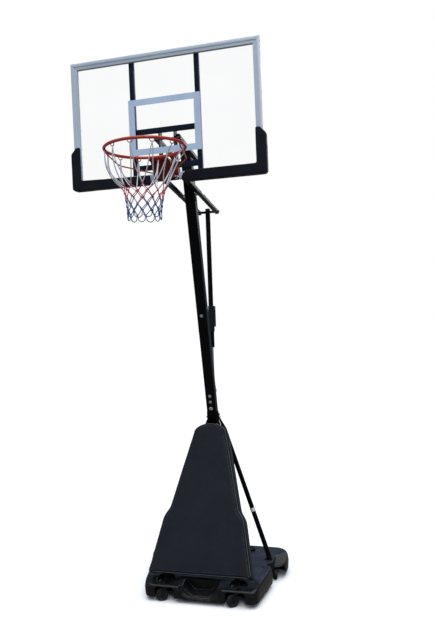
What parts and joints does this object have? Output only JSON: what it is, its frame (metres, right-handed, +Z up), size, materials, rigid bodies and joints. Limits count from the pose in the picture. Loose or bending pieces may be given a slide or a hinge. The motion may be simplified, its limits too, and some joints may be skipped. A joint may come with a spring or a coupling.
{
  "type": "portable basketball hoop",
  "caption": "Wheeled basketball hoop: water-ballasted base, leaning square pole with pad, height-adjusting arm linkage, clear framed board, breakaway rim and net.",
  "frame": {"origin": "on the floor, below the middle of the overall bounding box", "axes": "+Z up; the board faces -Y; +X to the right of somebody facing the board"},
  "size_m": [1.32, 1.742, 3.766],
  "materials": {
    "black_steel": "satin",
    "navy_steel": "satin",
    "silver_aluminium": "satin",
    "clear_acrylic": "gloss",
    "edge_pad_foam": "matte",
    "rim_orange": "satin",
    "dark_red_steel": "satin",
    "zinc_steel": "satin",
    "chromed_steel": "polished",
    "net_cord": "matte",
    "dark_vinyl": "matte",
    "black_tank_plastic": "gloss",
    "ballast_water": "gloss",
    "black_nylon": "matte",
    "grey_wheel_plastic": "matte",
    "red_plastic": "gloss"
  },
  "bodies": {
    "stand": {"base_tank": "black_tank_plastic", "water_fill": "ballast_water", "front_leg_left": "black_steel", "front_leg_right": "black_steel", "rear_strut_left": "black_steel", "rear_strut_right": "black_steel", "leg_joint_bolt": "zinc_steel", "pole_lower": "black_steel", "pole_upper": "black_steel", "pole_splice_sleeve": "black_steel", "pole_cap": "black_nylon", "pole_pad": "dark_vinyl", "pivot_bolt_lower": "zinc_steel", "pivot_bolt_upper": "zinc_steel", "lift_bracket": "black_steel"},
    "fill_cap": {"fill_cap": "black_nylon"},
    "lower_arms": {"lower_arm_left": "black_steel", "lower_arm_right": "black_steel", "rear_axle": "zinc_steel"},
    "upper_arms": {"upper_arm_left": "black_steel", "upper_arm_right": "black_steel"},
    "board": {"backboard_panel": "clear_acrylic", "frame_rail_bottom": "silver_aluminium", "frame_rail_top": "silver_aluminium", "frame_rail_left": "silver_aluminium", "frame_rail_right": "silver_aluminium", "edge_pad_left": "edge_pad_foam", "edge_pad_right": "edge_pad_foam", "board_upright_left": "navy_steel", "board_upright_right": "navy_steel", "board_crossbar_upper": "navy_steel", "board_crossbar_lower": "navy_steel", "arm_bracket_left": "navy_steel", "arm_bracket_right": "navy_steel", "board_bolt_lower": "zinc_steel", "board_bolt_upper": "zinc_steel", "rim_backplate": "dark_red_steel", "rim_spring_left": "zinc_steel", "rim_spring_right": "zinc_steel", "rim_hinge_pin": "zinc_steel"},
    "rim": {"rim_ring": "rim_orange", "rim_housing": "dark_red_steel", "rim_brace_left": "rim_orange", "rim_brace_right": "rim_orange", "net": "net_cord"},
    "lift_tube": {"lift_tube": "black_steel", "lift_bushing": "black_nylon", "lift_grip": "black_nylon"},
    "lift_rod": {"lift_rod": "chromed_steel"},
    "trigger": {"lift_trigger": "red_plastic"},
    "caster_front_left_swivel": {"caster_front_left_fork": "black_nylon"},
    "caster_front_left_roller": {"caster_front_left_wheel": "grey_wheel_plastic"},
    "caster_front_right_swivel": {"caster_front_right_fork": "black_nylon"},
    "caster_front_right_roller": {"caster_front_right_wheel": "grey_wheel_plastic"},
    "caster_rear_left_swivel": {"caster_rear_left_fork": "black_nylon"},
    "caster_rear_left_roller": {"caster_rear_left_wheel": "grey_wheel_plastic"},
    "caster_rear_right_swivel": {"caster_rear_right_fork": "black_nylon"},
    "caster_rear_right_roller": {"caster_rear_right_wheel": "grey_wheel_plastic"}
  },
  "joints": [
    {"name": "arm_lift", "type": "hinge", "parent": "stand", "child": "lower_arms", "pos_m": [0, 0.32025, 2.928], "axis": [1, 0, 0], "range_deg": [0, 72.18]},
    {"name": "upper_arm_swing", "type": "hinge", "parent": "stand", "child": "upper_arms", "pos_m": [0, 0.2679, 3.16222], "axis": [1, 0, 0], "range_deg": [0, 72.18]},
    {"name": "board_level", "type": "hinge", "parent": "lower_arms", "child": "board", "pos_m": [0, -0.11103, 2.98478], "axis": [1, 0, 0], "range_deg": [-72.18, 0]},
    {"name": "lift_tube_swing", "type": "hinge", "parent": "lower_arms", "child": "lift_tube", "pos_m": [0, 0.80606, 2.86404], "axis": [1, 0, 0], "range_deg": [-63.56, 0]},
    {"name": "lift_rod_slide", "type": "slide", "parent": "lift_tube", "child": "lift_rod", "axis": [0, -0.0334, -0.9994], "range_m": [0, 0.5196]},
    {"name": "trigger_pull", "type": "hinge", "parent": "lift_tube", "child": "trigger", "pos_m": [0, 0.82349, 2.06802], "axis": [-1, 0, 0], "range_deg": [0, 6], "stiffness_Nm_per_rad": 1, "springref_deg": -11.46},
    {"name": "rim_breakaway", "type": "hinge", "parent": "board", "child": "rim", "pos_m": [0, -0.25475, 2.95], "axis": [1, 0, 0], "range_deg": [0, 30], "stiffness_Nm_per_rad": 250, "springref_deg": -20.05},
    {"name": "fill_cap_turn", "type": "hinge", "parent": "stand", "child": "fill_cap", "pos_m": [0.25, 0.76325, 0.15], "axis": [0, 0, 1], "range_deg": [0, 720]},
    {"name": "caster_front_left_turn", "type": "hinge", "parent": "stand", "child": "caster_front_left_swivel", "pos_m": [-0.26, 0.13125, 0.108], "axis": [0, 0, 1], "continuous": true},
    {"name": "caster_front_left_roll", "type": "hinge", "parent": "caster_front_left_swivel", "child": "caster_front_left_roller", "pos_m": [-0.28631, 0.12167, 0.045], "axis": [0.342, -0.9397, 0], "continuous": true},
    {"name": "caster_front_right_turn", "type": "hinge", "parent": "stand", "child": "caster_front_right_swivel", "pos_m": [0.26, 0.13125, 0.108], "axis": [0, 0, 1], "continuous": true},
    {"name": "caster_front_right_roll", "type": "hinge", "parent": "caster_front_right_swivel", "child": "caster_front_right_roller", "pos_m": [0.23706, 0.11519, 0.045], "axis": [0.5736, -0.8192, 0], "continuous": true},
    {"name": "caster_rear_left_turn", "type": "hinge", "parent": "stand", "child": "caster_rear_left_swivel", "pos_m": [-0.455, 0.63825, 0.108], "axis": [0, 0, 1], "continuous": true},
    {"name": "caster_rear_left_roll", "type": "hinge", "parent": "caster_rear_left_swivel", "child": "caster_rear_left_roller", "pos_m": [-0.46458, 0.61194, 0.045], "axis": [0.9397, -0.342, 0], "continuous": true},
    {"name": "caster_rear_right_turn", "type": "hinge", "parent": "stand", "child": "caster_rear_right_swivel", "pos_m": [0.455, 0.63825, 0.108], "axis": [0, 0, 1], "continuous": true},
    {"name": "caster_rear_right_roll", "type": "hinge", "parent": "caster_rear_right_swivel", "child": "caster_rear_right_roller", "pos_m": [0.46225, 0.6112, 0.045], "axis": [0.9659, 0.2588, 0], "continuous": true}
  ],
  "couplings": [
    {"joint": "upper_arm_swing", "follows": "arm_lift", "ratio": 1},
    {"joint": "board_level", "follows": "arm_lift", "ratio": -1},
    {"joint": "lift_tube_swing", "follows": "arm_lift", "ratio": -0.88035},
    {"joint": "lift_rod_slide", "follows": "arm_lift", "m_per_rad": 0.41237}
  ]
}
